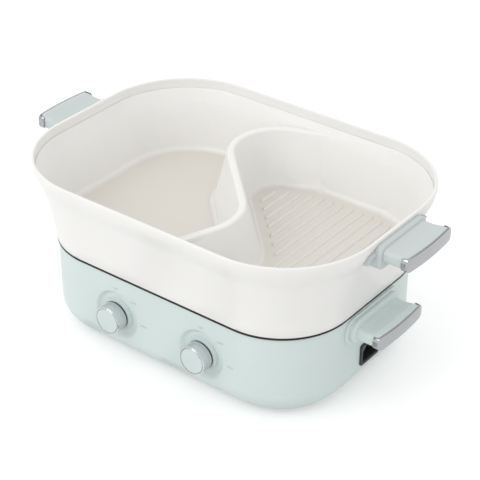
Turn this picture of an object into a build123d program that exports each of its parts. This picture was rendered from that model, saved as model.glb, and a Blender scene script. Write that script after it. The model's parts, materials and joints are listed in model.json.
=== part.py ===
from build123d import *
import math
import os

# Sizes are in millimetres. The origin lies on the table under the middle of the base.
# +X points to the end with the mains inlet, the knobs face -Y, +Z is up.

# Base shell
base_length = 332.0
base_width = 235.0
base_corner = 72.0
base_height = 91.0
base_wall = 3.0
base_floor = 4.0
base_bottom_round = 24.0

# Bottom cover, its screws and the feet
cover_margin = 2.0
cover_ledge = 9.0
cover_thickness = 2.0
cover_fit = 0.3
cover_screw_spread = 140.0
cover_screw_radius = 1.5
cover_screw_length = 9.0
cover_screw_head = 3.0
cover_screw_fit = 0.1
cover_boss_radius = 4.0
cover_boss_height = 8.0
slot_length = 36.0
slot_width = 4.0
slot_pitch = 10.0
slot_rows = 9
slot_columns = 2
slot_column_pitch = 48.0
foot_height = 3.0
foot_radius = 9.0
foot_stem_radius = 2.5
foot_barb_radius = 3.6
foot_barb_height = 1.6
foot_inset_x = 22.0
foot_inset_y = 26.5
foot_taper = 1.0
foot_fit = 0.1

# Deck that closes the base, seen as the dark line under the pot
deck_edge = 2.2
deck_overhang = 1.7
deck_skirt = 6.0
deck_skirt_wall = 1.5
deck_fit = 0.3
deck_opening_gap = 2.0

# Pot wall: how far it stands outside the base outline, and how far below the rim
pot_height = 87.5
pot_gap = 0.3
foot_growth = 2.0
waist_drop = 54.0
waist_growth = 7.6
shoulder_drop = 25.4
shoulder_growth = 15.4
shoulder_blend = 40.0
flare_drop = 16.0
flare_growth = 20.2
lip_drop = 8.0
lip_growth = 23.2
rim_growth = 24.0
side_share = 0.85
pot_wall = 3.4
lip_wall = 3.4
lip_round = 1.2
lid_seat_depth = 10.0
lid_seat_step = 1.2
floor_rise = 10.5
floor_thickness = 4.0
floor_round = 8.0

# Divider: an S of two lobes joined by a slanted run, thicker at its foot
divider_drop = 18.0
divider_top = 7.0
divider_flat = 1.0
divider_draft = 14.0
divider_flare = 5.0
divider_wall = 3.2
divider_hollow = 1.6
divider_shift = 7.5
divider_heading = 135.0
divider_straight = 90.0
divider_lobe = 50.4
divider_back_turn = 115.0
divider_front_turn = 66.0
divider_overrun = 10.0

# Grill ribs
rib_radius = 2.0
rib_pitch = 12.0
rib_margin = 13.0

# Heating plates, elements and what carries them
rest_gap = 0.2
plate_thickness = 8.0
plate_inset = 5.0
plate_divider_gap = 3.0
element_radius = 3.5
element_bend = 12.0
element_end_inset = 40.0
element_run_spacing = 41.0
element_back_inset = 37.5
element_front_inset = 62.5
element_turn_x = 25.0
element_turn_spacing = 28.0
element_drop = 14.0
plate_post_radius = 4.0
plate_post_height = 22.0
plate_post_end_inset = 56.0
plate_post_front_inset = 47.5
plate_post_middle = 30.0
plate_post_lobe = (55.0, 66.0)
shield_thickness = 1.0
shield_inset = 22.0
shield_rim = 6.0
shield_post_radius = 4.0
shield_post_inset_x = 44.0
shield_post_inset_y = 35.5

# Thermostats, fuse and terminal block
thermostat_end_inset = 56.0
thermostat_middle = -15.0
thermostat_radius = 8.0
thermostat_height = 9.0
thermostat_ear_length = 26.0
thermostat_ear_width = 8.0
thermostat_ear_thickness = 1.2
thermostat_blade = 5.0
blade_width = 6.3
blade_thickness = 0.8
fuse_radius = 2.5
fuse_length = 16.0
fuse_lead_radius = 0.6
fuse_lead_length = 9.0
fuse_saddle_length = 8.0
fuse_saddle_width = 8.0
fuse_lift = 1.5
block_length = 40.0
block_width = 18.0
block_height = 15.0
block_inset = 28.0
block_hole_radius = 2.2
block_pitch = 12.0

# Knobs and switches, measured outwards from the front wall and upwards from its middle
knob_spacing = 106.0
knob_shift = 1.8
knob_raise = 0.5
dish_radius = 26.5
dish_floor_radius = 22.0
dish_depth = 3.5
dish_floor = 3.0
dish_cup_radius = 29.5
dial_boss_radius = 17.5
dial_boss_rise = 0.6
dial_boss_bore = 9.0
knob_radius = 15.0
knob_facets = 24
knob_taper = 3.0
knob_clearance = 0.6
knob_reach = 14.2
knob_bevel = 1.2
knob_hollow_radius = 11.0
knob_hollow_reach = 3.0
cap_radius = 12.8
cap_thickness = 1.6
cap_proud = 0.3
cap_fit = 0.1
cap_round = 0.5
shaft_radius = 3.0
shaft_flat = 2.2
shaft_reach = 10.0
shaft_depth = 22.0
shaft_fit = 0.05
shaft_end_gap = 0.5
switch_size = 30.0
switch_depth = 24.0
switch_round = 3.0
bush_radius = 4.8
bush_reach = 1.0
bush_fit = 0.2
nut_width = 13.0
nut_thickness = 3.0
thread_fit = 0.05
switch_blade_length = 8.0
switch_blade_pitch = 10.0

# Mains inlet in the right-hand end wall
inlet_drop = 39.6
inlet_flange_width = 31.0
inlet_flange_height = 24.0
inlet_flange_thickness = 2.2
inlet_flange_round = 3.0
inlet_body_width = 27.4
inlet_body_height = 20.0
inlet_body_depth = 21.0
inlet_fit = 0.3
inlet_recess_width = 23.4
inlet_recess_height = 15.6
inlet_recess_chamfer = 4.4
inlet_recess_depth = 17.0
inlet_bevel = 1.4
inlet_body_round = 2.0
inlet_flange_bevel = 0.8
pin_width = 4.0
pin_thickness = 2.0
pin_spacing = 7.0
pin_rise = 2.0
pin_length = 11.0
pin_tail = 7.0
pin_fit = 0.05

# Handles: a slab with a dished top and a bowed chrome front that wraps its corners
handle_half_width = 35.0
handle_bar_half_width = 37.0
handle_bar_height = 15.4
handle_bar_corner = 5.5
handle_bar_face = 1.8
handle_bar_wrap = 7.0
handle_bar_edge = 1.0
handle_slab_height = 15.0
handle_dish = 1.8
handle_lip = 9.0
handle_round = 5.0
handle_bow_radius = 300.0
handle_bar_depth = 16.0
trim_gap = 0.1
base_handle_reach = 36.0
base_handle_drop = 17.4
base_plate_width = 88.0
base_plate_height = 29.0
base_plate_corner = 13.0
base_plate_thickness = 2.6
base_plate_round = 1.2
base_flange_width = 78.0
base_flange_height = 25.0
base_flange_corner = 11.0
base_flange_thickness = 8.0
base_flange_round = 3.2
handle_screw_spacing = 56.0
handle_screw_radius = 2.0
handle_screw_depth = 12.0
handle_screw_head = 4.0
handle_screw_head_height = 2.6
handle_screw_fit = 0.1
pot_handle_reach = 60.0
pot_handle_drop = 12.0
pot_flange_width = 78.0
pot_flange_height = 24.0
pot_flange_corner = 8.0
pot_flange_reach = 31.0
pot_flange_round = 3.0
pot_flange_drop = 15.5
pot_slab_root = 22.0
pot_wing_width = 95.0
pot_wing_height = 14.0
pot_wing_corner = 6.5
pot_wing_thickness = 4.0
pot_wing_drop = 15.5
handle_seat_gap = 0.2
ear_width = 44.0
ear_thickness = 4.0
ear_reach = 46.0
ear_fit = 0.3
ear_screw_spacing = 24.0
ear_screw_setback = 7.0
ear_screw_radius = 2.0
ear_screw_grip = 1.0
ear_screw_end_gap = 0.3

# Heights and places that follow from the sizes above
base_bottom = foot_height
base_top = base_bottom + base_height
cover_top = base_bottom + cover_thickness
deck_top = base_top + deck_edge
pot_foot = deck_top + pot_gap
rim_top = pot_foot + pot_height
floor_top = pot_foot + floor_rise
floor_under = floor_top - floor_thickness
seat_level = rim_top - lid_seat_depth
divider_level = rim_top - divider_drop
plate_top = floor_under - rest_gap
plate_bottom = plate_top - plate_thickness
shield_top = plate_bottom - plate_post_height
shield_bottom = shield_top - shield_thickness
knob_level = base_bottom + base_height / 2 + knob_raise
base_handle_level = base_top - base_handle_drop
inlet_level = base_handle_level - inlet_drop
pot_handle_level = rim_top - pot_handle_drop
base_end = base_length / 2
base_front = -base_width / 2
draft_slope = math.tan(math.radians(divider_draft))
shoulder_level = rim_top - shoulder_drop
wall_levels = (
    (pot_foot, foot_growth),
    (rim_top - waist_drop, waist_growth),
    (shoulder_level, shoulder_growth),
)
flare_levels = (
    (shoulder_level, shoulder_growth),
    (rim_top - flare_drop, flare_growth),
    (rim_top - lip_drop, lip_growth),
    (rim_top, rim_growth),
)
upwards = (Align.CENTER, Align.CENTER, Align.MIN)
downwards = (Align.CENTER, Align.CENTER, Align.MAX)

os.makedirs("parts", exist_ok=True)


def write(piece, name):
    piece.part.label = name
    export_step(piece.part, f"parts/{name}.step")


def front_plane(x, lift):
    # An upright plane facing the front at knob level, at a distance from the front wall.
    return Plane((x, base_front - lift, knob_level), x_dir=(1, 0, 0), z_dir=(0, -1, 0))


def end_plane(lift, height):
    # An upright plane facing the right-hand end, at a distance from the end wall.
    return Plane((base_end + lift, 0, height), x_dir=(0, 1, 0), z_dir=(1, 0, 0))


def outline(growth, height, share=1.0):
    # The base's rounded rectangle, grown outwards, on a level plane.
    with BuildSketch(Plane.XY.offset(height)) as shape:
        RectangleRounded(base_length + 2 * growth, base_width + 2 * growth * share, base_corner + growth)
    return shape.sketch


def pot_block(extra):
    # The pot's outer form as a full block, grown by an extra amount all round.
    with BuildPart() as block:
        for levels in (wall_levels, flare_levels):
            loft([outline(growth + extra, height, side_share) for height, growth in levels])
        shoulder_edges = block.edges().filter_by_position(Axis.Z, shoulder_level, shoulder_level)
        fillet(shoulder_edges, shoulder_blend)
    return block.part


# Centre line of the divider: both halves start in its middle and run past the pot wall.
divider_middle = Vector(0, divider_shift)
with BuildLine() as divider:
    back_half = Vector(divider_straight / 2, 0).rotate(Axis.Z, divider_heading)
    for half, turn in ((back_half, divider_back_turn), (-back_half, divider_front_turn)):
        slanted = Line(divider_middle, divider_middle + half)
        lobe = JernArc(slanted @ 1, slanted % 1, divider_lobe, -turn)
        way_out = lobe % 1
        wall_y = math.copysign(base_width / 2 + rim_growth + divider_overrun, way_out.Y)
        run = (wall_y - (lobe @ 1).Y) / way_out.Y
        Line(lobe @ 1, lobe @ 1 + way_out * run)


def divider_band(half_width, height):
    # The strip of ground within half_width of the divider's centre line.
    with BuildSketch(Plane.XY.offset(height)) as band:
        with BuildLine(Plane.XY.offset(height)):
            add(divider.line.moved(Location((0, 0, height))))
            offset(amount=half_width, side=Side.BOTH)
        make_face()
    return band.sketch


def divider_ridge(top, half_width, bottom, slope):
    # A ridge along the divider with sloping sides, from its top down to a bottom level.
    spread = half_width + (top - bottom) * slope
    with BuildPart() as ridge:
        loft([divider_band(spread, bottom), divider_band(half_width, top)], ruled=True)
    return ridge.part


def compartment(side, growth, height, band_half_width):
    # The part of the pot's outline on one side of the divider: +1 is the grill, -1 the soup side.
    with BuildSketch(Plane.XY.offset(height)) as region:
        add(outline(growth, height, side_share))
        add(divider_band(band_half_width, height), mode=Mode.SUBTRACT)
    return region.sketch.faces().sort_by(Axis.X)[-1 if side > 0 else 0]


divider_foot_half_width = divider_top / 2 + (divider_level - floor_top) * draft_slope

# Pot: a flared casting with a hollow divider, a step for a lid, ears for its handles and grill ribs
with BuildPart() as ridge:
    add(divider_ridge(divider_level, divider_top / 2, floor_under, draft_slope))
    fillet(ridge.edges().group_by(Axis.Z)[-1], (divider_top - divider_flat) / 2)
    flare_half_width = divider_foot_half_width - divider_flare * draft_slope
    add(divider_ridge(floor_top + divider_flare, flare_half_width, floor_under, 1 + draft_slope))

with BuildPart() as cavity:
    floor_growth = foot_growth + (waist_growth - foot_growth) * floor_rise / (pot_height - waist_drop)
    inner_levels = (
        (floor_top, floor_growth - pot_wall),
        (rim_top - waist_drop, waist_growth - pot_wall),
        (shoulder_level, shoulder_growth - pot_wall),
    )
    seat_levels = (
        (shoulder_level, shoulder_growth - pot_wall),
        (seat_level, rim_growth - lip_wall - lid_seat_step),
    )
    for levels in (inner_levels, seat_levels):
        loft([outline(growth, height, side_share) for height, growth in levels])
    fillet(cavity.edges().group_by(Axis.Z)[0], floor_round)
    add(ridge.part, mode=Mode.SUBTRACT)

skirt_growth = foot_growth - pot_wall
core_trim = pot_wall / math.cos(math.radians(divider_draft))
core_drop = max(divider_wall, ((divider_hollow - divider_top) / 2 + core_trim) / draft_slope)
core_half_width = divider_top / 2 + core_drop * draft_slope - core_trim
with BuildPart() as divider_core:
    add(divider_ridge(divider_level - core_drop, core_half_width, pot_foot, draft_slope))
    extrude(outline(skirt_growth - pot_wall, pot_foot, side_share), amount=pot_height, mode=Mode.INTERSECT)

with BuildPart() as grill_ribs:
    rib_count = 2 * int(base_length / 2 / rib_pitch) + 1
    with BuildSketch(Plane.XZ):
        with Locations((0, floor_top)):
            with GridLocations(rib_pitch, 0, rib_count, 1):
                Circle(rib_radius)
    extrude(amount=base_width, both=True)
    rib_band = divider_foot_half_width + rib_margin
    grill_floor = compartment(1, skirt_growth - rib_margin, floor_top, rib_band)
    extrude(grill_floor, amount=2 * rib_radius, both=True, mode=Mode.INTERSECT)

with BuildPart() as pot_body:
    add(pot_block(0))
    with Locations((0, 0, pot_handle_level)):
        Box(base_length + 2 * ear_reach, ear_width, ear_thickness)
    lid_seat = outline(rim_growth - lip_wall, seat_level, side_share)
    extrude(lid_seat, amount=lid_seat_depth, mode=Mode.SUBTRACT)
    fillet(pot_body.edges().group_by(Axis.Z)[-1], lip_round)
    add(cavity.part, mode=Mode.SUBTRACT)
    extrude(outline(skirt_growth, pot_foot, side_share), amount=floor_under - pot_foot, mode=Mode.SUBTRACT)
    add(divider_core.part, mode=Mode.SUBTRACT)
    add(grill_ribs.part)
    with Locations((0, 0, pot_handle_level)):
        with GridLocations(base_length + 2 * (ear_reach - ear_screw_setback), ear_screw_spacing, 2, 2):
            Cylinder(ear_screw_radius + handle_screw_fit, 2 * ear_thickness, mode=Mode.SUBTRACT)
write(pot_body, "pot_body")

# Base shell: dishes for the knobs, openings for the inlet and the cover, holes for the handle screws
cover_growth = -base_bottom_round - cover_margin
cover_end = base_end + cover_growth
cover_side = base_width / 2 + cover_growth
screw_line_x = cover_end - cover_ledge / 2
screw_line_y = cover_side - cover_ledge / 2
foot_spacing_x = 2 * (cover_end - foot_inset_x)
foot_spacing_y = 2 * (cover_side - foot_inset_y)
cover_screw_places = [(-screw_line_x, 0), (screw_line_x, 0)]
for row in (-screw_line_y, screw_line_y):
    cover_screw_places += [(-cover_screw_spread / 2, row), (cover_screw_spread / 2, row)]


def sunk_screw(radius, head):
    # A screw with a sunk head at the bottom, pointing up.
    with BuildPart() as screw:
        Cone(head, radius, head - radius, align=upwards)
        Cylinder(radius, cover_screw_length, align=upwards)
    return screw.part


with BuildPart() as shell_hollow:
    extrude(outline(-base_wall, base_bottom + base_floor), amount=base_height)
    fillet(shell_hollow.edges().group_by(Axis.Z)[0], base_bottom_round - base_wall)

with BuildPart() as base_housing:
    extrude(outline(0, base_bottom), amount=base_height)
    fillet(base_housing.edges().group_by(Axis.Z)[0], base_bottom_round)
    add(shell_hollow.part, mode=Mode.SUBTRACT)
    with Locations([(x, y, cover_top) for x, y in cover_screw_places]):
        Cylinder(
            cover_boss_radius,
            base_floor - cover_thickness + cover_boss_height,
            align=upwards,
        )
    with Locations(front_plane(knob_shift, 0)):
        with GridLocations(knob_spacing, 0, 2, 1):
            with Locations((0, 0, -dish_depth - dish_floor)):
                Cylinder(
                    dish_cup_radius,
                    dish_depth + dish_floor - base_wall / 2,
                    align=upwards,
                )
            Cone(
                dish_floor_radius,
                dish_radius,
                dish_depth,
                align=downwards,
                mode=Mode.SUBTRACT,
            )
            with Locations((0, 0, -dish_depth)):
                Cylinder(dial_boss_radius, dish_depth + dial_boss_rise, align=upwards)
                Cylinder(dial_boss_bore, dish_depth + dial_boss_rise, align=upwards, mode=Mode.SUBTRACT)
            Cylinder(bush_radius + bush_fit, 3 * (dish_depth + dish_floor), mode=Mode.SUBTRACT)
    with Locations(end_plane(0, inlet_level)):
        Box(
            inlet_body_width + 2 * inlet_fit,
            inlet_body_height + 2 * inlet_fit,
            2 * (inlet_body_depth + inlet_fit),
            mode=Mode.SUBTRACT,
        )
    with Locations((0, 0, base_handle_level)):
        with GridLocations(base_length, handle_screw_spacing, 2, 2):
            Cylinder(
                handle_screw_radius + handle_screw_fit,
                4 * base_wall,
                rotation=(0, 90, 0),
                mode=Mode.SUBTRACT,
            )
    extrude(outline(cover_growth + cover_fit, base_bottom), amount=cover_thickness, mode=Mode.SUBTRACT)
    extrude(outline(cover_growth - cover_ledge, base_bottom), amount=base_floor, mode=Mode.SUBTRACT)
    with Locations([(x, y, base_bottom) for x, y in cover_screw_places]):
        add(sunk_screw(cover_screw_radius + cover_screw_fit, cover_screw_head), mode=Mode.SUBTRACT)
write(base_housing, "base_housing")

with BuildPart() as bottom_cover:
    extrude(outline(cover_growth, base_bottom), amount=cover_thickness)
    with BuildSketch(Plane.XY.offset(base_bottom)):
        with GridLocations(slot_column_pitch, slot_pitch, slot_columns, slot_rows):
            SlotOverall(slot_length, slot_width)
    extrude(amount=cover_thickness, mode=Mode.SUBTRACT)
    with Locations((0, 0, base_bottom)):
        with GridLocations(foot_spacing_x, foot_spacing_y, 2, 2):
            Cylinder(foot_stem_radius + foot_fit, 4 * cover_thickness, mode=Mode.SUBTRACT)
    with Locations([(x, y, base_bottom) for x, y in cover_screw_places]):
        add(
            sunk_screw(cover_screw_radius + cover_screw_fit, cover_screw_head + cover_screw_fit),
            mode=Mode.SUBTRACT,
        )
write(bottom_cover, "bottom_cover")

with BuildPart() as cover_screws:
    with Locations([(x, y, base_bottom) for x, y in cover_screw_places]):
        add(sunk_screw(cover_screw_radius, cover_screw_head))
write(cover_screws, "cover_screws")

with BuildPart() as rubber_feet:
    with GridLocations(foot_spacing_x, foot_spacing_y, 2, 2):
        Cone(foot_radius - foot_taper, foot_radius, foot_height, align=upwards)
        Cylinder(foot_stem_radius, cover_top, align=upwards)
        with Locations((0, 0, cover_top)):
            Cone(
                foot_barb_radius,
                foot_stem_radius,
                foot_barb_height,
                align=upwards,
            )
write(rubber_feet, "rubber_feet")

# Deck, heating plates and elements: each plate keeps to its side of the divider
plate_growth = skirt_growth - plate_inset
plate_band = divider_foot_half_width + plate_divider_gap

with BuildPart() as heater_deck:
    extrude(outline(deck_overhang, base_top), amount=deck_edge)
    skirt_inset = base_wall + deck_fit
    extrude(outline(-skirt_inset, base_top), amount=-deck_skirt)
    extrude(outline(-skirt_inset - deck_skirt_wall, base_top), amount=-deck_skirt, mode=Mode.SUBTRACT)
    for side in (1, -1):
        opening = compartment(side, plate_growth + deck_opening_gap, base_top, plate_band - deck_opening_gap)
        extrude(opening, amount=deck_edge, mode=Mode.SUBTRACT)
write(heater_deck, "heater_deck")

for side, name in ((1, "right"), (-1, "left")):
    with BuildPart() as heating_plate:
        extrude(compartment(side, plate_growth, plate_bottom, plate_band), amount=plate_thickness)
    write(heating_plate, f"heating_plate_{name}")

half_turn = Axis((0, divider_shift, 0), (0, 0, 1))
element_level = plate_bottom - element_radius
element_outer_x = base_end - element_end_inset
element_inner_x = element_outer_x - element_run_spacing
element_back_y = base_width / 2 - element_back_inset
element_turn_y = element_back_y - element_turn_spacing
element_end_y = element_front_inset - base_width / 2
element_turns = (
    (element_inner_x, element_end_y),
    (element_inner_x, element_turn_y),
    (element_turn_x, element_turn_y),
    (element_turn_x, element_back_y),
    (element_outer_x, element_back_y),
    (element_outer_x, element_end_y),
)
with BuildPart() as heating_element_right:
    with BuildLine() as element_path:
        FilletPolyline(
            (*element_turns[0], element_level - element_drop),
            *[(x, y, element_level) for x, y in element_turns],
            (*element_turns[-1], element_level - element_drop),
            radius=element_bend,
        )
    with BuildSketch(Plane(element_path.line @ 0, z_dir=element_path.line % 0)):
        Circle(element_radius)
    sweep()
write(heating_element_right, "heating_element_right")

with BuildPart() as heating_element_left:
    add(heating_element_right.part.rotate(half_turn, 180))
write(heating_element_left, "heating_element_left")

plate_post_x = base_end - plate_post_end_inset
plate_post_places = (
    plate_post_lobe,
    (plate_post_x, plate_post_middle),
    (plate_post_x, plate_post_front_inset - base_width / 2),
)
with BuildPart() as plate_posts_right:
    with Locations([(x, y, shield_top) for x, y in plate_post_places]):
        Cylinder(plate_post_radius, plate_post_height, align=upwards)
with BuildPart() as plate_posts:
    add(plate_posts_right.part)
    add(plate_posts_right.part.rotate(half_turn, 180))
write(plate_posts, "plate_posts")

with BuildPart() as heat_shield:
    extrude(outline(-shield_inset, shield_bottom), amount=shield_thickness + shield_rim)
    extrude(outline(-shield_inset - shield_thickness, shield_top), amount=shield_rim, mode=Mode.SUBTRACT)
write(heat_shield, "heat_shield")

with BuildPart() as shield_posts:
    with Locations((0, 0, cover_top)):
        post_spacing_x = base_length - 2 * (shield_inset + shield_post_inset_x)
        post_spacing_y = base_width - 2 * (shield_inset + shield_post_inset_y)
        with GridLocations(post_spacing_x, post_spacing_y, 2, 2):
            Cylinder(
                shield_post_radius,
                shield_bottom - cover_top,
                align=upwards,
            )
write(shield_posts, "shield_posts")

with BuildPart() as thermostat_right:
    with Locations((base_end - thermostat_end_inset, thermostat_middle, plate_bottom)):
        Cylinder(thermostat_radius, thermostat_height, align=downwards)
        Box(
            thermostat_ear_width,
            thermostat_ear_length,
            thermostat_ear_thickness,
            align=downwards,
        )
        with GridLocations(0, thermostat_radius, 1, 2):
            Box(
                blade_width,
                blade_thickness,
                thermostat_height + thermostat_blade,
                align=downwards,
            )
write(thermostat_right, "thermostat_right")

with BuildPart() as thermostat_left:
    add(thermostat_right.part.rotate(half_turn, 180))
write(thermostat_left, "thermostat_left")

with BuildPart() as thermal_fuse:
    with Locations((0, divider_shift, shield_top)):
        Box(
            fuse_saddle_length,
            fuse_saddle_width,
            fuse_lift + fuse_radius,
            align=upwards,
        )
        with Locations((0, 0, fuse_lift + fuse_radius)):
            Cylinder(fuse_radius, fuse_length, rotation=(0, 90, 0))
            Cylinder(fuse_lead_radius, fuse_length + 2 * fuse_lead_length, rotation=(0, 90, 0))
write(thermal_fuse, "thermal_fuse")

with BuildPart() as terminal_block:
    with Locations((cover_end - block_inset, 0, cover_top)):
        Box(block_width, block_length, block_height, align=upwards)
        with GridLocations(0, block_pitch, 1, 3):
            with Locations((0, 0, block_height / 2)):
                Cylinder(block_hole_radius, 2 * block_width, rotation=(0, 90, 0), mode=Mode.SUBTRACT)
            with Locations((0, 0, block_height)):
                Cylinder(block_hole_radius, block_height, mode=Mode.SUBTRACT)
write(terminal_block, "terminal_block")

# Knobs and switches: each switch hangs behind its dish, the knob turns with the shaft
knob_back = dial_boss_rise + knob_clearance
cap_seat = knob_reach + cap_proud - cap_thickness
flat_start = knob_hollow_reach - shaft_end_gap


def flatted_circle(plane, radius, flat):
    # The outline of a shaft with a flat on its upper side.
    with BuildSketch(plane) as profile:
        Circle(radius)
        with Locations((0, flat + radius)):
            Rectangle(2 * radius, 2 * radius, mode=Mode.SUBTRACT)
    return profile.sketch


for knob_x, name in ((knob_shift + knob_spacing / 2, "right"), (knob_shift - knob_spacing / 2, "left")):
    with BuildPart() as rotary_switch:
        with BuildSketch(front_plane(knob_x, -dish_depth - dish_floor)):
            RectangleRounded(switch_size, switch_size, switch_round)
        extrude(amount=-switch_depth)
        with BuildSketch(front_plane(knob_x, -dish_depth - dish_floor)):
            Circle(bush_radius)
        extrude(amount=dish_depth + dish_floor + bush_reach)
        with BuildSketch(front_plane(knob_x, bush_reach)):
            Circle(shaft_radius + shaft_fit)
        extrude(amount=-bush_reach - shaft_depth - shaft_end_gap, mode=Mode.SUBTRACT)
        with BuildSketch(front_plane(knob_x, -dish_depth - dish_floor - switch_depth)):
            with GridLocations(switch_blade_pitch, 0, 3, 1):
                Rectangle(blade_thickness, blade_width)
        extrude(amount=-switch_blade_length)
    write(rotary_switch, f"rotary_switch_{name}")

    with BuildPart() as switch_shaft:
        with BuildSketch(front_plane(knob_x, -shaft_depth)):
            Circle(shaft_radius)
        extrude(amount=shaft_depth + flat_start)
        flatted = flatted_circle(front_plane(knob_x, flat_start), shaft_radius, shaft_flat)
        extrude(flatted, amount=shaft_reach - flat_start)
    write(switch_shaft, f"switch_shaft_{name}")

    with BuildPart() as knob_grip:
        with BuildSketch(front_plane(knob_x, knob_back)):
            RegularPolygon(knob_radius, knob_facets)
        extrude(amount=knob_reach - knob_back, taper=knob_taper)
        chamfer(knob_grip.edges().group_by(Axis.Y)[0], knob_bevel)
        with BuildSketch(front_plane(knob_x, knob_back)):
            Circle(knob_hollow_radius)
        extrude(amount=knob_hollow_reach - knob_back, mode=Mode.SUBTRACT)
        bore_mouth = front_plane(knob_x, knob_hollow_reach)
        bore = flatted_circle(bore_mouth, shaft_radius + shaft_fit, shaft_flat + shaft_fit)
        extrude(bore, amount=shaft_reach + shaft_end_gap - knob_hollow_reach, mode=Mode.SUBTRACT)
        with BuildSketch(front_plane(knob_x, cap_seat)):
            Circle(cap_radius + cap_fit)
        extrude(amount=cap_thickness, mode=Mode.SUBTRACT)
    write(knob_grip, f"knob_grip_{name}")

    with BuildPart() as knob_cap:
        with BuildSketch(front_plane(knob_x, cap_seat)):
            Circle(cap_radius)
        extrude(amount=cap_thickness)
        fillet(knob_cap.edges().group_by(Axis.Y)[0], cap_round)
    write(knob_cap, f"knob_cap_{name}")

with BuildPart() as switch_nuts:
    with BuildSketch(front_plane(knob_shift, -dish_depth)):
        with GridLocations(knob_spacing, 0, 2, 1):
            RegularPolygon(nut_width / 2, 6, major_radius=False)
            Circle(bush_radius + thread_fit, mode=Mode.SUBTRACT)
    extrude(amount=nut_thickness)
write(switch_nuts, "switch_nuts")

# Mains inlet: a bevelled frame on the end wall, a keyed recess and three pins
recess_floor = inlet_flange_thickness - inlet_recess_depth
pin_places = ((-pin_spacing, -pin_rise), (0, pin_rise), (pin_spacing, -pin_rise))

with BuildPart() as inlet_socket:
    with BuildSketch(end_plane(0, inlet_level)):
        RectangleRounded(inlet_flange_width, inlet_flange_height, inlet_flange_round)
    extrude(amount=inlet_flange_thickness)
    chamfer(inlet_socket.faces().sort_by(Axis.X)[-1].edges(), inlet_flange_bevel)
    with BuildSketch(end_plane(0, inlet_level)):
        RectangleRounded(inlet_body_width, inlet_body_height, inlet_body_round)
    extrude(amount=-inlet_body_depth)
    with BuildSketch(end_plane(inlet_flange_thickness, inlet_level)) as recess:
        Rectangle(inlet_recess_width, inlet_recess_height)
        chamfer(recess.vertices().group_by(Axis.Y)[-1], inlet_recess_chamfer)
    extrude(amount=-inlet_recess_depth, mode=Mode.SUBTRACT)
    chamfer(inlet_socket.faces().sort_by(Axis.X)[-1].inner_wires()[0].edges(), inlet_bevel)
    with BuildSketch(end_plane(recess_floor, inlet_level)):
        with Locations(*pin_places):
            Rectangle(pin_thickness + 2 * pin_fit, pin_width + 2 * pin_fit)
    extrude(amount=-inlet_body_depth, mode=Mode.SUBTRACT)
write(inlet_socket, "inlet_socket")

with BuildPart() as inlet_pins:
    with BuildSketch(end_plane(recess_floor + pin_length, inlet_level)):
        with Locations(*pin_places):
            Rectangle(pin_thickness, pin_width)
    extrude(amount=-pin_length - recess_floor - inlet_body_depth - pin_tail)
write(inlet_pins, "inlet_pins")


def handle_slab(root, reach, level):
    # A handle's slab at the right-hand end, from its root to the back of its chrome front.
    half_height = handle_slab_height / 2
    dish_end = reach - handle_lip
    dish_middle = ((root + dish_end) / 2, level + half_height - handle_dish)
    with BuildPart() as slab:
        with BuildSketch(Plane.XZ):
            with BuildLine():
                Polyline(
                    (root, level + half_height),
                    (root, level - half_height),
                    (reach, level - half_height),
                    (reach, level + half_height),
                    (dish_end, level + half_height),
                )
                ThreePointArc((dish_end, level + half_height), dish_middle, (root, level + half_height))
            make_face()
        extrude(amount=handle_half_width, both=True)
        side_faces = slab.faces().filter_by(Plane.XZ)
        fillet(side_faces.edges(), handle_round)
        with Locations((reach - handle_bow_radius, 0, level)):
            Cylinder(
                handle_bow_radius - handle_bar_face - trim_gap,
                4 * handle_slab_height,
                mode=Mode.INTERSECT,
            )
    return slab.part


def handle_bar(reach, level):
    # A bowed chrome front whose ends wrap the corners of the slab.
    with BuildPart() as slab_nose:
        with Locations((reach - handle_bow_radius, 0, level)):
            Cylinder(handle_bow_radius - handle_bar_face, 4 * handle_bar_height)
            Box(
                2 * handle_bow_radius,
                2 * (handle_half_width + trim_gap),
                4 * handle_bar_height,
                mode=Mode.INTERSECT,
            )
    with BuildPart() as bar:
        with BuildSketch(end_plane(reach - base_end, level)):
            RectangleRounded(2 * handle_bar_half_width, handle_bar_height, handle_bar_corner)
        extrude(amount=handle_bar_depth, both=True)
        with Locations((reach - handle_bow_radius, 0, level)):
            Cylinder(handle_bow_radius, 4 * handle_bar_height, mode=Mode.INTERSECT)
            Cylinder(handle_bow_radius - handle_bar_wrap, 4 * handle_bar_height, mode=Mode.SUBTRACT)
        fillet(bar.faces().sort_by(Axis.X)[-1].edges(), handle_bar_edge)
        add(slab_nose.part, mode=Mode.SUBTRACT)
    return bar.part


def write_pair(piece, name):
    # A right-hand piece and its mirror image at the left-hand end.
    write(piece, f"{name}_right")
    with BuildPart() as mirrored:
        mirror(piece.part, about=Plane.YZ)
    write(mirrored, f"{name}_left")


# Base handles, screwed to the end walls from inside
base_handle_front = base_end + base_handle_reach
with BuildPart() as base_plate:
    with BuildSketch(end_plane(0, base_handle_level)):
        RectangleRounded(base_plate_width, base_plate_height, base_plate_corner)
    extrude(amount=base_plate_thickness)
    fillet(base_plate.faces().sort_by(Axis.X)[-1].edges(), base_plate_round)

with BuildPart() as base_handle:
    with BuildSketch(end_plane(0, base_handle_level)):
        RectangleRounded(base_flange_width, base_flange_height, base_flange_corner)
    extrude(amount=base_flange_thickness)
    fillet(base_handle.faces().sort_by(Axis.X)[-1].edges(), base_flange_round)
    add(base_plate.part)
    add(handle_slab(base_end, base_handle_front, base_handle_level))
    with BuildSketch(end_plane(0, base_handle_level)):
        with GridLocations(handle_screw_spacing, 0, 2, 1):
            Circle(handle_screw_radius + handle_screw_fit)
    extrude(amount=handle_screw_depth + handle_screw_fit, mode=Mode.SUBTRACT)
write_pair(base_handle, "base_handle")

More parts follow.
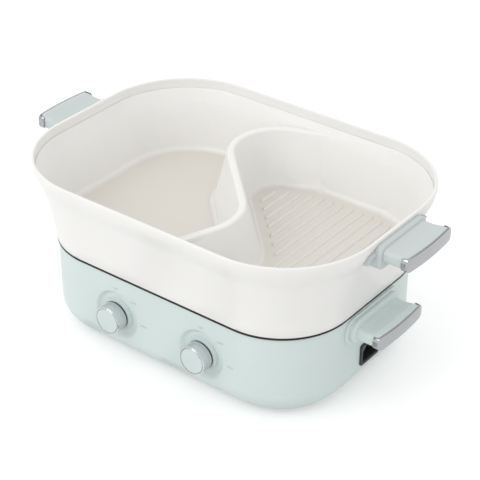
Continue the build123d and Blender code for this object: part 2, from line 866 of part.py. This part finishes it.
with BuildPart() as base_handle_trim:
    add(handle_bar(base_handle_front, base_handle_level))
write_pair(base_handle_trim, "base_handle_trim")

with BuildPart() as base_handle_screws:
    for end in (1, -1):
        for row in (-handle_screw_spacing / 2, handle_screw_spacing / 2):
            head_seat = Plane((end * (base_end - base_wall), row, base_handle_level), z_dir=(end, 0, 0))
            with BuildSketch(head_seat):
                Circle(handle_screw_head)
            extrude(amount=-handle_screw_head_height)
            with BuildSketch(head_seat):
                Circle(handle_screw_radius)
            extrude(amount=base_wall + handle_screw_depth)
write(base_handle_screws, "base_handle_screws")

# Pot handles, fitted over the casting's ears and screwed from below
pot_handle_front = base_end + pot_handle_reach
pot_screw_x = base_end + ear_reach - ear_screw_setback
pot_slab_under = pot_handle_level - handle_slab_height / 2
pot_screw_top = pot_handle_level + ear_thickness / 2 + ear_screw_grip
with BuildPart() as wing:
    add(pot_block(pot_wing_thickness))
    with BuildSketch(end_plane(0, rim_top - pot_wing_drop)):
        RectangleRounded(pot_wing_width, pot_wing_height, pot_wing_corner)
    extrude(amount=pot_handle_reach, mode=Mode.INTERSECT)

with BuildPart() as pot_handle:
    with BuildSketch(end_plane(0, rim_top - pot_flange_drop)):
        RectangleRounded(pot_flange_width, pot_flange_height, pot_flange_corner)
    extrude(amount=pot_flange_reach)
    fillet(pot_handle.faces().sort_by(Axis.X)[-1].edges(), pot_flange_round)
    add(wing.part)
    add(handle_slab(base_end + pot_slab_root, pot_handle_front, pot_handle_level))
    add(pot_block(handle_seat_gap), mode=Mode.SUBTRACT)
    with Locations((0, 0, pot_handle_level)):
        Box(
            base_length + 2 * (ear_reach + ear_fit),
            ear_width + 2 * ear_fit,
            ear_thickness + 2 * ear_fit,
            mode=Mode.SUBTRACT,
        )
    with Locations((pot_screw_x, 0, pot_slab_under)):
        with GridLocations(0, ear_screw_spacing, 1, 2):
            Cylinder(
                handle_screw_head + handle_screw_fit,
                handle_screw_head_height,
                align=upwards,
                mode=Mode.SUBTRACT,
            )
            Cylinder(
                ear_screw_radius + handle_screw_fit,
                pot_screw_top + ear_screw_end_gap - pot_slab_under,
                align=upwards,
                mode=Mode.SUBTRACT,
            )
write_pair(pot_handle, "pot_handle")

with BuildPart() as pot_handle_trim:
    add(handle_bar(pot_handle_front, pot_handle_level))
write_pair(pot_handle_trim, "pot_handle_trim")

with BuildPart() as pot_handle_screws:
    with Locations((0, 0, pot_slab_under)):
        with GridLocations(2 * pot_screw_x, ear_screw_spacing, 2, 2):
            Cylinder(handle_screw_head, handle_screw_head_height, align=upwards)
            Cylinder(
                ear_screw_radius,
                pot_screw_top - pot_slab_under,
                align=upwards,
            )
write(pot_handle_screws, "pot_handle_screws")
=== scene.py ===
import json
import math

import bmesh
import bpy
from mathutils import Matrix, Vector

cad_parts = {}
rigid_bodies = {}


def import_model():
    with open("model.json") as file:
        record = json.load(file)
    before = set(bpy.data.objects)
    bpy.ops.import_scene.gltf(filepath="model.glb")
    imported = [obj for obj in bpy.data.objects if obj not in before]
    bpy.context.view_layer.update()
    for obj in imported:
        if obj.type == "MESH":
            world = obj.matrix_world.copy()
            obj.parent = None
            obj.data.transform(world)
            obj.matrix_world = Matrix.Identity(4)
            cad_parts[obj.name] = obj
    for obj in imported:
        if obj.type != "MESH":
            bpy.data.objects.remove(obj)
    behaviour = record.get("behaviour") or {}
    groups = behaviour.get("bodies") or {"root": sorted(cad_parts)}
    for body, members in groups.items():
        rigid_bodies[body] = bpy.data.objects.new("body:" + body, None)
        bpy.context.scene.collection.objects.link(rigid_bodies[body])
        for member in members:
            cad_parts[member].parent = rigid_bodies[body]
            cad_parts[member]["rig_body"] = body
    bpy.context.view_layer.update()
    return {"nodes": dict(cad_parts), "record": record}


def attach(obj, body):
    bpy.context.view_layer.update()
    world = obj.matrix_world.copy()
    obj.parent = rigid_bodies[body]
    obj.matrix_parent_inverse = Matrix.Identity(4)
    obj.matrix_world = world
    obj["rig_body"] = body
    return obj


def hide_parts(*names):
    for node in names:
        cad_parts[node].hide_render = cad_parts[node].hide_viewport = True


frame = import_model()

mm = 0.001
scene = bpy.context.scene
scene.view_settings.view_transform = "Standard"
slotOf = {row["node"]: row["material_slot"] for row in frame["record"]["subparts"]}
# Where each knob's axis meets the front wall, by side
knobAxes = {joint["child"].removeprefix("knob_"): Vector(joint["pos_m"])
            for joint in frame["record"]["behaviour"]["joints"] if joint["type"] == "hinge"}
print("frame loaded:", len(frame["nodes"]), "nodes")


def toLinear(hexColour):
    channels = [int(hexColour[at:at + 2], 16) / 255 for at in (1, 3, 5)]
    return [c / 12.92 if c <= 0.04045 else ((c + 0.055) / 1.055) ** 2.4 for c in channels] + [1.0]


def addNode(tree, kind, sockets=(), **settings):
    node = tree.nodes.new(kind)
    for name, value in settings.items():
        setattr(node, name, value)
    for socket, value in dict(sockets).items():
        if isinstance(value, bpy.types.NodeSocket):
            tree.links.new(value, node.inputs[socket])
        else:
            node.inputs[socket].default_value = value
    return node


def emptyTree(owner):  # the node tree of a material or a world, with nothing in it yet
    owner.use_nodes = True
    owner.node_tree.nodes.clear()
    return owner.node_tree


# A surface with a slow drift between two colours, and a grain that moves both gloss and relief.
# Sizes are in millimetres on the object; a stretch under 1 draws the grain out along that axis.
def madeSurface(name, look):
    material = bpy.data.materials.new(name)
    tree = emptyTree(material)
    coords = addNode(tree, "ShaderNodeTexCoord").outputs
    where = coords["Object"]
    grainPlace = addNode(tree, "ShaderNodeMapping", {"Vector": where, "Scale": look.get("stretch", (1, 1, 1))})
    drift = addNode(tree, "ShaderNodeTexNoise", {
        "Vector": where, "Scale": 1 / (look["driftMm"] * mm), "Detail": 2.0, "Roughness": 0.45})
    grain = addNode(tree, "ShaderNodeTexNoise", {
        "Vector": grainPlace.outputs["Vector"], "Scale": 1 / (look["grainMm"] * mm), "Detail": 3.0,
        "Roughness": 0.6})
    first, second = look["colours"]  # output 2 of a colour mix is the mixed colour
    colour = addNode(tree, "ShaderNodeMix", {
        "Factor": drift.outputs["Fac"], "A": toLinear(first), "B": toLinear(second)}, data_type="RGBA").outputs[2]
    if "specks" in look:  # sparse darker grains in the colour
        specks = look["specks"]
        cells = addNode(tree, "ShaderNodeTexVoronoi", {"Vector": where, "Scale": 1 / (specks["pitchMm"] * mm)})
        spot = addNode(tree, "ShaderNodeMapRange", {
            "Value": cells.outputs["Distance"], "From Min": 0.0, "From Max": specks["reach"],
            "To Min": specks["depth"], "To Max": 0.0})
        colour = addNode(tree, "ShaderNodeMix", {
            "Factor": spot.outputs["Result"], "A": colour, "B": toLinear(specks["colour"])},
            data_type="RGBA").outputs[2]
    if "floor" in look:  # another tint where the surface lies flat below a level
        floor = look["floor"]
        facing = addNode(tree, "ShaderNodeSeparateXYZ", {"Vector": coords["Normal"]})
        level = addNode(tree, "ShaderNodeSeparateXYZ", {"Vector": where})
        flat = addNode(tree, "ShaderNodeMapRange", {
            "Value": facing.outputs["Z"], "From Min": floor["upFrom"], "From Max": floor["upFull"]})
        below = addNode(tree, "ShaderNodeMath", {
            0: level.outputs["Z"], 1: floor["belowMm"] * mm}, operation="LESS_THAN")
        tinted = addNode(tree, "ShaderNodeMath", {
            0: flat.outputs["Result"], 1: below.outputs[0]}, operation="MULTIPLY")
        colour = addNode(tree, "ShaderNodeMix", {
            "Factor": tinted.outputs[0], "A": colour, "B": toLinear(floor["colour"])}, data_type="RGBA").outputs[2]
    metallic = look.get("metallic", 0.0)
    if "paintedGapShade" in look:  # painted shade: a dark band at the back edge stands for the shadow in the gap behind the knob, with the metal taken off there
        edge = look["paintedGapShade"]
        depth = addNode(tree, "ShaderNodeSeparateXYZ", {"Vector": where})
        gapShadeMask = addNode(tree, "ShaderNodeMath", {
            0: depth.outputs["Y"], 1: edge["fromMm"] * mm}, operation="GREATER_THAN").outputs[0]
        colour = addNode(tree, "ShaderNodeMix", {
            "Factor": gapShadeMask, "A": colour, "B": toLinear(edge["colour"])}, data_type="RGBA").outputs[2]
        metallic = addNode(tree, "ShaderNodeMath", {
            0: metallic, 1: gapShadeMask}, operation="SUBTRACT", use_clamp=True).outputs[0]
    smoothest, roughest = look["roughness"]
    gloss = addNode(tree, "ShaderNodeMapRange", {
        "Value": grain.outputs["Fac"], "From Min": 0.3, "From Max": 0.7, "To Min": smoothest, "To Max": roughest})
    relief = addNode(tree, "ShaderNodeBump", {
        "Height": grain.outputs["Fac"], "Strength": look["relief"], "Distance": look["grainMm"] * mm})
    shader = addNode(tree, "ShaderNodeBsdfPrincipled", {
        "Base Color": colour, "Roughness": gloss.outputs["Result"], "Normal": relief.outputs["Normal"],
        "Metallic": metallic, "IOR": look.get("ior", 1.5)})
    addNode(tree, "ShaderNodeOutputMaterial", {"Surface": shader.outputs["BSDF"]})
    return material


# Moulded ABS in pale mint: even colour, a satin sheen from the fine spark texture of the mould.
# The texture is finer than a pixel here, so its grain is drawn at 1.4 mm.
mintAbs = madeSurface("mouldedMintAbs", {
    "colours": ("#d7e3e0", "#d0dddb"), "driftMm": 90, "grainMm": 1.4, "roughness": (0.36, 0.46), "relief": 0.05,
    "ior": 1.53})
# The pot's handles: the same mint ABS painted greyer, as painted shade for their tops, which take more light from
# the dome than they should; the same satin sheen.
mintPaintedShade = madeSurface("mintAbsPaintedShade", {
    "colours": ("#c9d1d0", "#c2cbcb"), "driftMm": 90, "grainMm": 1.4, "roughness": (0.36, 0.46), "relief": 0.05,
    "ior": 1.53})
# Sol-gel ceramic coating sprayed on cast aluminium: white, silky, faint orange peel and mineral specks; surfaces
# that face up low in the pot are tinted darker and warmer.
whiteCoating = madeSurface("sprayedCeramicCoating", {
    "colours": ("#f2f1ef", "#eeedea"), "driftMm": 60, "grainMm": 2.2, "roughness": (0.28, 0.4), "relief": 0.06,
    "ior": 1.5, "specks": {"pitchMm": 5.0, "reach": 0.12, "depth": 0.12, "colour": "#b9b4ac"},
    "floor": {"belowMm": 112.0, "upFrom": 0.6, "upFull": 0.95, "colour": "#dfdbd3"}})
# Bright chrome plated on black ABS: mirror grey, a slight waviness from the plastic; a dark band at the back edge is
# painted shade for the gap behind the knob.
chromePlate = madeSurface("chromePlatedAbs", {
    "colours": ("#dcdee0", "#d6d8da"), "driftMm": 30, "grainMm": 5.0, "roughness": (0.05, 0.12), "relief": 0.05,
    "metallic": 1.0, "paintedGapShade": {"fromMm": -120.0, "colour": "#141615"}})
# Polished stainless strip on the handles: greyer than the plating, with the faint length-wise lines of its buffing.
polishedStrip = madeSurface("polishedStainlessStrip", {
    "colours": ("#aeb0b2", "#a6a8ab"), "driftMm": 30, "grainMm": 1.2, "roughness": (0.1, 0.18), "relief": 0.02,
    "metallic": 1.0, "stretch": (1, 0.08, 1)})
# Black moulded ABS: deep, slightly grey where the light grazes its fine mould grain.
blackAbs = madeSurface("mouldedBlackAbs", {
    "colours": ("#2a2e2c", "#232725"), "driftMm": 40, "grainMm": 0.9, "roughness": (0.38, 0.52), "relief": 0.12,
    "ior": 1.53})
# Sheet steel with a heat-proof black coating: dull, with a fine sprayed tooth.
blackSteel = madeSurface("blackCoatedSteel", {
    "colours": ("#0d0e0d", "#090a09"), "driftMm": 50, "grainMm": 1.2, "roughness": (0.55, 0.7), "relief": 0.15})
# Cast aluminium, blasted after casting: pale grey, matt, with a pitted skin.
castAluminium = madeSurface("blastedCastAluminium", {
    "colours": ("#b4b5b6", "#a6a7a9"), "driftMm": 22, "grainMm": 1.6, "roughness": (0.38, 0.55), "relief": 0.3,
    "metallic": 1.0})
# Zinc-plated steel, drawn or rolled: cool grey with lines along the drawing.
zincSteel = madeSurface("zincPlatedSteel", {
    "colours": ("#b9bbbe", "#a9abae"), "driftMm": 14, "grainMm": 0.8, "roughness": (0.26, 0.42), "relief": 0.12,
    "metallic": 1.0, "stretch": (1, 1, 0.15)})
# Brass contact pins, drawn and bare: warm yellow with a soft shine.
drawnBrass = madeSurface("drawnBrass", {
    "colours": ("#8a7648", "#7a683e"), "driftMm": 6, "grainMm": 0.6, "roughness": (0.22, 0.36), "relief": 0.08,
    "metallic": 1.0, "stretch": (0.15, 1, 1)})
# Moulded rubber: charcoal, dull, with a fine pebbled skin.
mouldedRubber = madeSurface("mouldedRubber", {
    "colours": ("#262726", "#1e1f1e"), "driftMm": 8, "grainMm": 0.9, "roughness": (0.72, 0.9), "relief": 0.25,
    "ior": 1.52})
# Pressed steatite: cream ceramic body, unglazed, with a grainy fracture-like skin.
steatite = madeSurface("pressedSteatite", {
    "colours": ("#e2dfd6", "#d6d2c7"), "driftMm": 12, "grainMm": 0.8, "roughness": (0.55, 0.75), "relief": 0.2,
    "specks": {"pitchMm": 2.0, "reach": 0.2, "depth": 0.3, "colour": "#a9a294"}})
# Pad-printed grey ink: thin, matt, a little uneven in cover.
greyInk = madeSurface("padPrintedInk", {
    "colours": ("#aeb8b5", "#a4aeab"), "driftMm": 1.5, "grainMm": 0.5, "roughness": (0.5, 0.65), "relief": 0.05})

finishOf = {
    "mint_plastic": mintAbs, "white_coating": whiteCoating, "chrome": chromePlate, "black_plastic": blackAbs,
    "black_steel": blackSteel, "cast_aluminium": castAluminium, "steel": zincSteel, "white_ceramic": steatite,
    "brass": drawnBrass, "rubber": mouldedRubber}
# Pieces that look different from the rest of their slot; the pot's handles get a copy of the mint painted darker as
# shade
ownFinish = {
    "pot_handle_left": mintPaintedShade, "pot_handle_right": mintPaintedShade, "base_handle_trim_left": polishedStrip,
    "base_handle_trim_right": polishedStrip, "pot_handle_trim_left": polishedStrip,
    "pot_handle_trim_right": polishedStrip}


def finishFor(nodeName):
    return ownFinish.get(nodeName, finishOf[slotOf[nodeName]])


for nodeName, part in frame["nodes"].items():
    part.data.materials.clear()
    part.data.materials.append(finishFor(nodeName))
print("finishes made:", len(bpy.data.materials))


def addObject(name, data):
    added = bpy.data.objects.new(name, data)
    scene.collection.objects.link(added)
    return added


def place(name, mesh, material, body, slot, *nodes):
    mesh.name = name
    mesh.materials.clear()
    mesh.materials.append(material)
    piece = addObject(name, mesh)
    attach(piece, body)
    if nodes:
        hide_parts(*nodes)


def bakedMesh(helper):  # what the modifiers make of a helper object, as a plain mesh; the helper goes
    shown = helper.evaluated_get(bpy.context.evaluated_depsgraph_get())
    mesh = bpy.data.meshes.new_from_object(shown)
    bpy.data.objects.remove(helper)
    return mesh


merging = {"gapMm": 0.002, "flatDegrees": 0.1}


def mergedCopy(nodeName):
    mesh = frame["nodes"][nodeName].data.copy()
    work = bmesh.new()
    work.from_mesh(mesh)
    bmesh.ops.remove_doubles(work, verts=work.verts, dist=merging["gapMm"] * mm)
    if slotOf[nodeName] != "white_coating":  # flat faces become one face each, which keeps their shading even
        bmesh.ops.dissolve_limit(
            work, angle_limit=math.radians(merging["flatDegrees"]), verts=work.verts, edges=work.edges)
    work.to_mesh(mesh)
    work.free()
    return mesh


# Smooth copies of the moulded, cast and plated pieces: one skin each, creased only past an angle in degrees
smoothPieces = {
    "base_housing": 28, "base_handle_left": 28, "base_handle_right": 28, "pot_handle_left": 28,
    "pot_handle_right": 28, "pot_body": 50, "knob_cap_left": 40, "knob_cap_right": 40, "knob_grip_left": 8,
    "knob_grip_right": 8, "base_handle_trim_left": 30, "base_handle_trim_right": 30, "pot_handle_trim_left": 30,
    "pot_handle_trim_right": 30, "inlet_socket": 25, "heater_deck": 30, "bottom_cover": 30, "heating_plate_left": 30,
    "heating_plate_right": 30, "heating_element_left": 40, "heating_element_right": 40}
for nodeName, crease in smoothPieces.items():
    mesh = mergedCopy(nodeName)
    mesh.shade_smooth()
    mesh.set_sharp_from_angle(angle=math.radians(crease))
    skin = addObject("skin", mesh)
    skin.modifiers.new("evenNormals", "WEIGHTED_NORMAL").keep_sharp = True
    body = frame["nodes"][nodeName]["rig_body"]
    place(nodeName + "_skin", bakedMesh(skin), finishFor(nodeName), body, slotOf[nodeName], nodeName)
print("smooth pieces:", len(smoothPieces))


def islandBoxes(nodeName):  # lowest and highest corner of each solid of a node
    work = bmesh.new()
    work.from_mesh(mergedCopy(nodeName))
    left, boxes = set(work.verts), []
    while left:
        queue, island = [left.pop()], []
        while queue:
            vert = queue.pop()
            island.append(vert.co.copy())
            for edge in vert.link_edges:
                other = edge.other_vert(vert)
                if other in left:
                    left.discard(other)
                    queue.append(other)
        boxes.append([Vector([pick(v[axis] for v in island) for axis in range(3)]) for pick in (min, max)])
    work.free()
    return boxes


# Screws with a cross recess, heads down: one screw is made and set on every head's middle
def screwTree():
    tree = bpy.data.node_groups.new("crossHeadScrew", "GeometryNodeTree")
    tree.interface.new_socket("Geometry", in_out="INPUT", socket_type="NodeSocketGeometry")
    for size in ("headRadius", "headNeck", "headHeight", "shankRadius", "shankLength", "crossLength", "crossWidth",
                 "crossDepth"):
        tree.interface.new_socket(size, in_out="INPUT", socket_type="NodeSocketFloat")
    tree.interface.new_socket("sides", in_out="INPUT", socket_type="NodeSocketInt")
    tree.interface.new_socket("finish", in_out="INPUT", socket_type="NodeSocketMaterial")
    tree.interface.new_socket("Geometry", in_out="OUTPUT", socket_type="NodeSocketGeometry")
    given = addNode(tree, "NodeGroupInput").outputs
    head = addNode(tree, "GeometryNodeMeshCone", {
        "Vertices": given["sides"], "Radius Top": given["headNeck"], "Radius Bottom": given["headRadius"],
        "Depth": given["headHeight"]})
    # The shank starts halfway up the head, so that the two overlap where they join
    start = addNode(tree, "ShaderNodeMath", {0: given["headHeight"], 1: 0.5}, operation="MULTIPLY").outputs[0]
    length = addNode(tree, "ShaderNodeMath", {0: given["shankLength"], 1: start}, operation="SUBTRACT").outputs[0]
    shank = addNode(tree, "GeometryNodeMeshCone", {
        "Vertices": given["sides"], "Radius Top": given["shankRadius"], "Radius Bottom": given["shankRadius"],
        "Depth": length})
    lift = addNode(tree, "ShaderNodeCombineXYZ", {"Z": start})
    raised = addNode(tree, "GeometryNodeTransform", {
        "Geometry": shank.outputs["Mesh"], "Translation": lift.outputs[0]})
    whole = addNode(tree, "GeometryNodeMeshBoolean", operation="UNION", solver="EXACT")
    for solid in (head.outputs["Mesh"], raised.outputs["Geometry"]):
        tree.links.new(solid, whole.inputs["Mesh 2"])
    twice = addNode(tree, "ShaderNodeMath", {0: given["crossDepth"], 1: 2.0}, operation="MULTIPLY")
    cross = addNode(tree, "GeometryNodeMeshBoolean", operation="UNION", solver="EXACT")
    for along, across in ((0, 1), (1, 0)):
        size = addNode(tree, "ShaderNodeCombineXYZ", {
            along: given["crossLength"], across: given["crossWidth"], 2: twice.outputs[0]})
        bar = addNode(tree, "GeometryNodeMeshCube", {"Size": size.outputs[0]})
        tree.links.new(bar.outputs["Mesh"], cross.inputs["Mesh 2"])
    cut = addNode(tree, "GeometryNodeMeshBoolean", {
        "Mesh 1": whole.outputs["Mesh"], "Mesh 2": cross.outputs["Mesh"]}, operation="DIFFERENCE", solver="EXACT")
    spread = addNode(tree, "GeometryNodeInstanceOnPoints", {
        "Points": given["Geometry"], "Instance": cut.outputs["Mesh"]})
    real = addNode(tree, "GeometryNodeRealizeInstances", {"Geometry": spread.outputs["Instances"]})
    done = addNode(tree, "GeometryNodeSetMaterial", {
        "Geometry": real.outputs["Geometry"], "Material": given["finish"]})
    addNode(tree, "NodeGroupOutput", {"Geometry": done.outputs["Geometry"]})
    return tree


def grown(tree, points, sizes):  # a tree's result on a set of points, as a plain mesh
    mesh = bpy.data.meshes.new("points")
    mesh.from_pydata(points, [], [])
    carrier = addObject("points", mesh)
    modifier = carrier.modifiers.new("nodes", "NODES")
    modifier.node_group = tree
    for socket in tree.interface.items_tree:
        if socket.in_out == "INPUT" and socket.name in sizes:
            modifier[socket.identifier] = sizes[socket.name]
    return bakedMesh(carrier)


screwSizes = {
    "cover_screws": {
        "headRadius": 3.0 * mm, "headNeck": 1.5 * mm, "headHeight": 1.5 * mm, "shankRadius": 1.45 * mm,
        "shankLength": 9.0 * mm, "crossLength": 3.2 * mm, "crossWidth": 0.8 * mm, "crossDepth": 1.0 * mm,
        "sides": 36},
    "pot_handle_screws": {
        "headRadius": 4.0 * mm, "headNeck": 4.0 * mm, "headHeight": 2.6 * mm, "shankRadius": 2.0 * mm,
        "shankLength": 10.5 * mm, "crossLength": 4.6 * mm, "crossWidth": 1.1 * mm, "crossDepth": 1.5 * mm,
        "sides": 36}}
crossHeads = screwTree()
for nodeName, sizes in screwSizes.items():
    heads = [((low.x + high.x) / 2, (low.y + high.y) / 2, low.z) for low, high in islandBoxes(nodeName)]
    screws = grown(crossHeads, heads, {**sizes, "finish": zincSteel})
    body = frame["nodes"][nodeName]["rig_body"]
    place(nodeName + "_cross", screws, zincSteel, body, slotOf[nodeName], nodeName)
    print(nodeName, "screws:", len(heads))


# Rounded plated lip round each knob's face: a ring of this radius and half thickness, so far out from the front wall
knobLip = {"ring": 13.6, "thick": 0.75, "proud": 13.55, "around": 96, "across": 16}
for side, axis in knobAxes.items():
    verts, faces = [], []
    for turn in range(knobLip["around"]):
        angle = 2 * math.pi * turn / knobLip["around"]
        here = turn * knobLip["across"]
        ahead = (turn + 1) % knobLip["around"] * knobLip["across"]
        for step in range(knobLip["across"]):
            tilt = 2 * math.pi * step / knobLip["across"]
            radius = knobLip["ring"] + knobLip["thick"] * math.cos(tilt)
            depth = knobLip["thick"] * math.sin(tilt) - knobLip["proud"]
            verts.append(axis + Vector((radius * math.sin(angle), depth, radius * math.cos(angle))) * mm)
            beside = (step + 1) % knobLip["across"]
            faces.append((here + step, here + beside, ahead + beside, ahead + step))
    mesh = bpy.data.meshes.new("knobLip")
    mesh.from_pydata(verts, [], faces)
    mesh.shade_smooth()
    place("knobLip_" + side, mesh, chromePlate, "knob_" + side, "chrome")
print("knob lips:", len(knobAxes))


# Printed words at the three switch positions round each dial, at clockwise degrees from the top
dialWords = {"words": ("OFF", "LOW", "HIGH"), "clock": (0, 45, 90), "reach": (30.0, 32.0, 34.5), "letter": 3.2,
             "ink": 0.06, "curveSteps": 3}
for side, axis in knobAxes.items():
    joined = bmesh.new()
    for word, clock, out in zip(dialWords["words"], dialWords["clock"], dialWords["reach"]):
        letters = bpy.data.curves.new("word", "FONT")
        letters.body = word
        letters.size = dialWords["letter"] * mm
        letters.align_x, letters.align_y = "CENTER", "CENTER"
        letters.extrude = dialWords["ink"] * mm / 2
        letters.resolution_u = dialWords["curveSteps"]
        flat = bakedMesh(addObject("word", letters))
        angle = math.radians(clock)
        spot = axis + Vector((out * math.sin(angle), -dialWords["ink"] / 2, out * math.cos(angle))) * mm
        flat.transform(Matrix.Translation(spot) @ Matrix.Rotation(math.pi / 2, 4, "X"))
        joined.from_mesh(flat)
    mesh = bpy.data.meshes.new("dialWords")
    joined.to_mesh(mesh)
    joined.free()
    place("dialWords_" + side, mesh, greyInk, "base", "black_plastic")
    print("dial words:", side)


def rectangle(name, wide, high):
    mesh = bpy.data.meshes.new(name)
    mesh.from_pydata([(-wide / 2, -high / 2, 0), (wide / 2, -high / 2, 0), (wide / 2, high / 2, 0),
                      (-wide / 2, high / 2, 0)], [], [(0, 1, 2, 3)])
    return mesh


def seenRays(tree):  # 1 for a ray that the camera follows: straight, reflected or let through
    rays = addNode(tree, "ShaderNodeLightPath").outputs
    straight = addNode(tree, "ShaderNodeMath", {0: rays["Is Camera Ray"], 1: rays["Is Glossy Ray"]}, operation="ADD")
    return addNode(tree, "ShaderNodeMath", {
        0: straight.outputs[0], 1: rays["Is Transmission Ray"]}, operation="ADD", use_clamp=True).outputs[0]


# Floor and light, in metres: the floor glows a little where the camera sees it, to stay white
studio = {"floor": "#e9e9e9", "floorSize": 12.0, "floorGlow": 0.3, "white": "#ffffff", "dome": 0.94, "domeSeen": 1.0,
          "key": 11.0, "keyFrom": (-0.6, -1.8, 1.5), "keyTo": (0, 0, 0.1), "keySize": 1.4}
floorPaint = bpy.data.materials.new("paleFloor")
tree = emptyTree(floorPaint)
glow = addNode(tree, "ShaderNodeMath", {0: seenRays(tree), 1: studio["floorGlow"]}, operation="MULTIPLY")
paint = addNode(tree, "ShaderNodeBsdfDiffuse", {"Color": toLinear(studio["floor"])})
lit = addNode(tree, "ShaderNodeEmission", {"Color": toLinear(studio["white"]), "Strength": glow.outputs[0]})
both = addNode(tree, "ShaderNodeAddShader", {0: paint.outputs[0], 1: lit.outputs[0]})
addNode(tree, "ShaderNodeOutputMaterial", {"Surface": both.outputs[0]})
floorMesh = rectangle("floor", studio["floorSize"], studio["floorSize"])
floorMesh.materials.append(floorPaint)
floor = addObject("floor", floorMesh)

scene.world = bpy.data.worlds.new("studio")
tree = emptyTree(scene.world)
strength = addNode(tree, "ShaderNodeMapRange", {
    "Value": seenRays(tree), "To Min": studio["dome"], "To Max": studio["domeSeen"]})
sky = addNode(tree, "ShaderNodeBackground", {
    "Color": toLinear(studio["white"]), "Strength": strength.outputs["Result"]})
addNode(tree, "ShaderNodeOutputWorld", {"Surface": sky.outputs["Background"]})

# Dark cards that only shiny surfaces see: they draw the dark edges of the strips and of the knobs' lips as painted
# reflections; the two cards on the floor are painted shade, a dark sheet standing for the shadow under the base's
# front edge that the lips reflect
cardLook = {"colour": "#101010", "roughness": 0.9}
cards = {
    "behind": {"middle": (1.5, 1.9, 0.9), "facing": (1.5, 1.9, 0.9), "size": (1.6, 1.1)},
    "underLeftKnob": {"middle": (-0.094, -0.2, 0.0005), "facing": (0, 0, 1), "size": (0.04, 0.17)},
    "underRightKnob": {"middle": (0.012, -0.2, 0.0005), "facing": (0, 0, 1), "size": (0.04, 0.17)}}
cardPaint = bpy.data.materials.new("darkCard")
tree = emptyTree(cardPaint)
matt = addNode(tree, "ShaderNodeBsdfPrincipled", {
    "Base Color": toLinear(cardLook["colour"]), "Roughness": cardLook["roughness"]})
addNode(tree, "ShaderNodeOutputMaterial", {"Surface": matt.outputs["BSDF"]})
for cardName, sheet in cards.items():
    cardMesh = rectangle(cardName, *sheet["size"])
    turned = Vector(sheet["facing"]).to_track_quat("Z", "Y").to_matrix().to_4x4()
    cardMesh.transform(Matrix.Translation(sheet["middle"]) @ turned)
    cardMesh.materials.append(cardPaint)
    card = addObject(cardName, cardMesh)
    card.visible_camera = card.visible_diffuse = card.visible_shadow = card.visible_transmission = False

lamp = bpy.data.lights.new("key", "AREA")
lamp.size = studio["keySize"]
lamp.energy = studio["key"]
key = addObject("key", lamp)
key.location = studio["keyFrom"]
key.rotation_euler = (Vector(studio["keyTo"]) - Vector(studio["keyFrom"])).to_track_quat("-Z", "Y").to_euler()

viewpoint = {"azimuth": 37.76, "elevation": 32.22, "distance": 1.4933, "target": (0.00246, 0.00979, 0.09215),
             "lens": 111.98, "sensor": 36.0}
turn, rise = math.radians(viewpoint["azimuth"]), math.radians(viewpoint["elevation"])
away = Vector((math.sin(turn) * math.cos(rise), -math.cos(turn) * math.cos(rise), math.sin(rise)))
lensData = bpy.data.cameras.new("camera")
lensData.lens = viewpoint["lens"]
lensData.sensor_width = viewpoint["sensor"]
camera = addObject("camera", lensData)
camera.location = Vector(viewpoint["target"]) + away * viewpoint["distance"]
camera.rotation_euler = (-away).to_track_quat("-Z", "Y").to_euler()
scene.camera = camera
print("stage, light and camera set")
